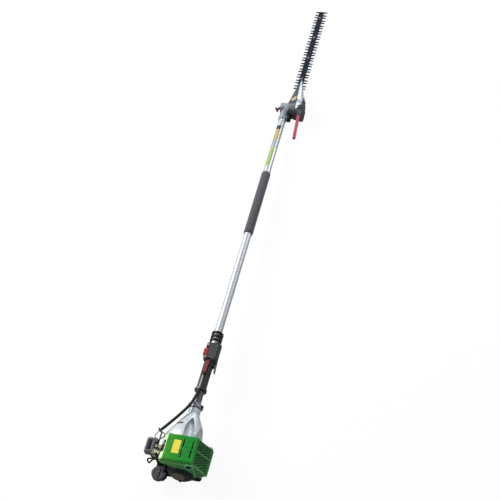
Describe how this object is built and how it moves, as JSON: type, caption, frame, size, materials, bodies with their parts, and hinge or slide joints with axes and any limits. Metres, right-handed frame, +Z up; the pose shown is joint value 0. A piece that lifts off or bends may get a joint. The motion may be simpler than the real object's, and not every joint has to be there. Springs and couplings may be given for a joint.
{
  "type": "long-reach hedge trimmer",
  "caption": "Long-reach petrol hedge trimmer: two-stroke engine, tube with drive shaft, throttle handle, foam grip and a tilting gear head with reciprocating toothed blades.",
  "frame": {"origin": "on the flat base of the fuel tank, directly below the tube's centre line", "axes": "+X along the floor towards the blade tip, +Y to the operator's left, +Z up"},
  "size_m": [2.302, 0.2208, 0.2097],
  "materials": {
    "tube_aluminium": "drawn, satin",
    "cast_aluminium": "sand-blasted casting",
    "dark_casting": "dark grey paint",
    "steel": "machined",
    "blade_steel": "blackened blade steel",
    "zinc_bolt": "bright zinc",
    "black_plastic": "moulded nylon",
    "grey_plastic": "moulded nylon",
    "green_plastic": "moulded cover",
    "green_guard": "moulded guard",
    "red_plastic": "moulded knob",
    "foam": "closed-cell foam",
    "rubber": "moulded rubber",
    "cream_plastic": "phenolic",
    "filter_foam": "open-cell foam",
    "porcelain_steel": "plug",
    "rope": "braided nylon",
    "hose": "fuel hose",
    "bulb": "clear silicone"
  },
  "bodies": {
    "frame": {"main_tube": "tube_aluminium", "shaft_bushes": "black_plastic", "foam_grip": "foam", "hanger_clamp": "black_plastic", "handle_shell_upper": "black_plastic", "handle_shell_lower": "black_plastic", "throttle_conduit": "rubber", "cable_bracket": "steel", "fan_housing": "cast_aluminium", "damper_ring": "rubber", "tube_clamp": "cast_aluminium", "ball_bearings": "steel", "crankcase": "cast_aluminium", "cylinder": "cast_aluminium", "spark_plug": "porcelain_steel", "plug_boot": "rubber", "muffler": "steel", "engine_cover": "green_plastic", "muffler_guard": "green_guard", "insulator_block": "black_plastic", "carburettor": "cast_aluminium", "filter_base": "cream_plastic", "filter_element": "filter_foam", "filter_cover": "grey_plastic", "fuel_tank": "black_plastic", "fuel_lines": "hose", "starter_housing": "black_plastic", "case_screws": "zinc_bolt", "clamp_bolts": "zinc_bolt", "knuckle": "cast_aluminium"},
    "crank": {"crankshaft": "steel", "flywheel": "cast_aluminium", "clutch_shoes": "dark_casting"},
    "piston": {"piston": "cast_aluminium", "connecting_rod": "steel"},
    "drive": {"clutch_drum": "steel", "drive_shaft": "steel"},
    "cross_gear": {"cross_gear": "steel"},
    "head": {"gear_case": "cast_aluminium", "gear_case_cover": "dark_casting", "gear_case_screws": "zinc_bolt", "blade_plate": "steel", "blade_bar": "blade_steel", "blade_bolts": "zinc_bolt", "control_handle": "steel", "control_grip": "red_plastic"},
    "crank_gear": {"crank_gear": "steel"},
    "upper_blade": {"upper_blade": "blade_steel"},
    "lower_blade": {"lower_blade": "blade_steel"},
    "lock_knob": {"lock_knob": "red_plastic"},
    "trigger": {"throttle_trigger": "grey_plastic"},
    "throttle_lock": {"throttle_lock": "red_plastic"},
    "stop_switch": {"stop_switch": "red_plastic"},
    "starter_grip": {"starter_grip": "black_plastic", "starter_rope": "rope"},
    "starter_pulley": {"starter_pulley": "black_plastic"},
    "throttle_arm": {"throttle_arm": "steel"},
    "choke_lever": {"choke_lever": "black_plastic"},
    "primer_bulb": {"primer_bulb": "bulb"},
    "fuel_cap": {"fuel_cap": "grey_plastic"}
  },
  "joints": [
    {"name": "engine_spin", "type": "hinge", "parent": "frame", "child": "crank", "pos_m": [0.044, 0, 0.10643], "axis": [0.9993, 0, -0.0373], "continuous": true},
    {"name": "piston_slide", "type": "slide", "parent": "frame", "child": "piston", "axis": [0.0373, 0, 0.9993], "range_m": [-0.026, 0]},
    {"name": "drive_spin", "type": "hinge", "parent": "frame", "child": "drive", "pos_m": [0.10396, 0, 0.1042], "axis": [0.9993, 0, -0.0373], "continuous": true},
    {"name": "cross_gear_spin", "type": "hinge", "parent": "frame", "child": "cross_gear", "pos_m": [1.6179, -0.015, 0.04772], "axis": [0, 1, 0], "continuous": true},
    {"name": "head_tilt", "type": "hinge", "parent": "frame", "child": "head", "pos_m": [1.6179, -0.012, 0.04772], "axis": [0, 1, 0], "range_deg": [-45, 90]},
    {"name": "crank_gear_spin", "type": "hinge", "parent": "head", "child": "crank_gear", "pos_m": [1.61828, -0.044, 0.05772], "axis": [0.0373, 0, 0.9993], "continuous": true},
    {"name": "upper_blade_slide", "type": "slide", "parent": "head", "child": "upper_blade", "axis": [0.9993, 0, -0.0373], "range_m": [-0.0085, 0.0085]},
    {"name": "lower_blade_slide", "type": "slide", "parent": "head", "child": "lower_blade", "axis": [0.9993, 0, -0.0373], "range_m": [-0.0085, 0.0085]},
    {"name": "lock_knob_pull", "type": "slide", "parent": "frame", "child": "lock_knob", "axis": [-0.5996, 0.8, 0.0224], "range_m": [0, 0.008], "stiffness_N_per_m": 600},
    {"name": "trigger_squeeze", "type": "hinge", "parent": "frame", "child": "trigger", "pos_m": [0.39475, -0.021, 0.09335], "axis": [0.0373, 0, 0.9993], "range_deg": [-12, 0], "stiffness_Nm_per_rad": 0.6},
    {"name": "throttle_lock_press", "type": "hinge", "parent": "frame", "child": "throttle_lock", "pos_m": [0.37844, 0, 0.11197], "axis": [0, 1, 0], "range_deg": [-5, 0], "stiffness_Nm_per_rad": 0.6},
    {"name": "stop_switch_slide", "type": "slide", "parent": "frame", "child": "stop_switch", "axis": [0.9993, 0, -0.0373], "range_m": [0, 0.008]},
    {"name": "starter_pull", "type": "slide", "parent": "frame", "child": "starter_grip", "axis": [0, 1, 0], "range_m": [0, 0.6], "stiffness_N_per_m": 12, "deforming": ["starter_rope"]},
    {"name": "starter_pulley_turn", "type": "hinge", "parent": "frame", "child": "starter_pulley", "pos_m": [-0.04694, 0, 0.10983], "axis": [0.9993, 0, -0.0373], "range_deg": [-2160, 10]},
    {"name": "throttle_arm_turn", "type": "hinge", "parent": "frame", "child": "throttle_arm", "pos_m": [-0.00336, 0.063, 0.17825], "axis": [0.0373, 0, 0.9993], "range_deg": [-62, 0]},
    {"name": "choke_turn", "type": "hinge", "parent": "frame", "child": "choke_lever", "pos_m": [-0.0219, 0.063, 0.16393], "axis": [0.9993, 0, -0.0373], "range_deg": [0, 60]},
    {"name": "primer_press", "type": "slide", "parent": "frame", "child": "primer_bulb", "axis": [0.0373, 0, 0.9993], "range_m": [0, 0.004], "stiffness_N_per_m": 900},
    {"name": "fuel_cap_turn", "type": "hinge", "parent": "frame", "child": "fuel_cap", "pos_m": [-0.0351, 0.075, 0.03834], "axis": [0.0373, 0, 0.9993], "range_deg": [0, 540]}
  ],
  "couplings": [
    {"joint": "cross_gear_spin", "follows": "drive_spin", "ratio": -1},
    {"joint": "crank_gear_spin", "follows": "drive_spin", "ratio": -0.33333},
    {"joint": "lower_blade_slide", "follows": "upper_blade_slide", "ratio": -1},
    {"joint": "starter_pulley_turn", "follows": "starter_pull", "rad_per_m": -62.5},
    {"joint": "throttle_arm_turn", "follows": "trigger_squeeze", "ratio": 5}
  ]
}
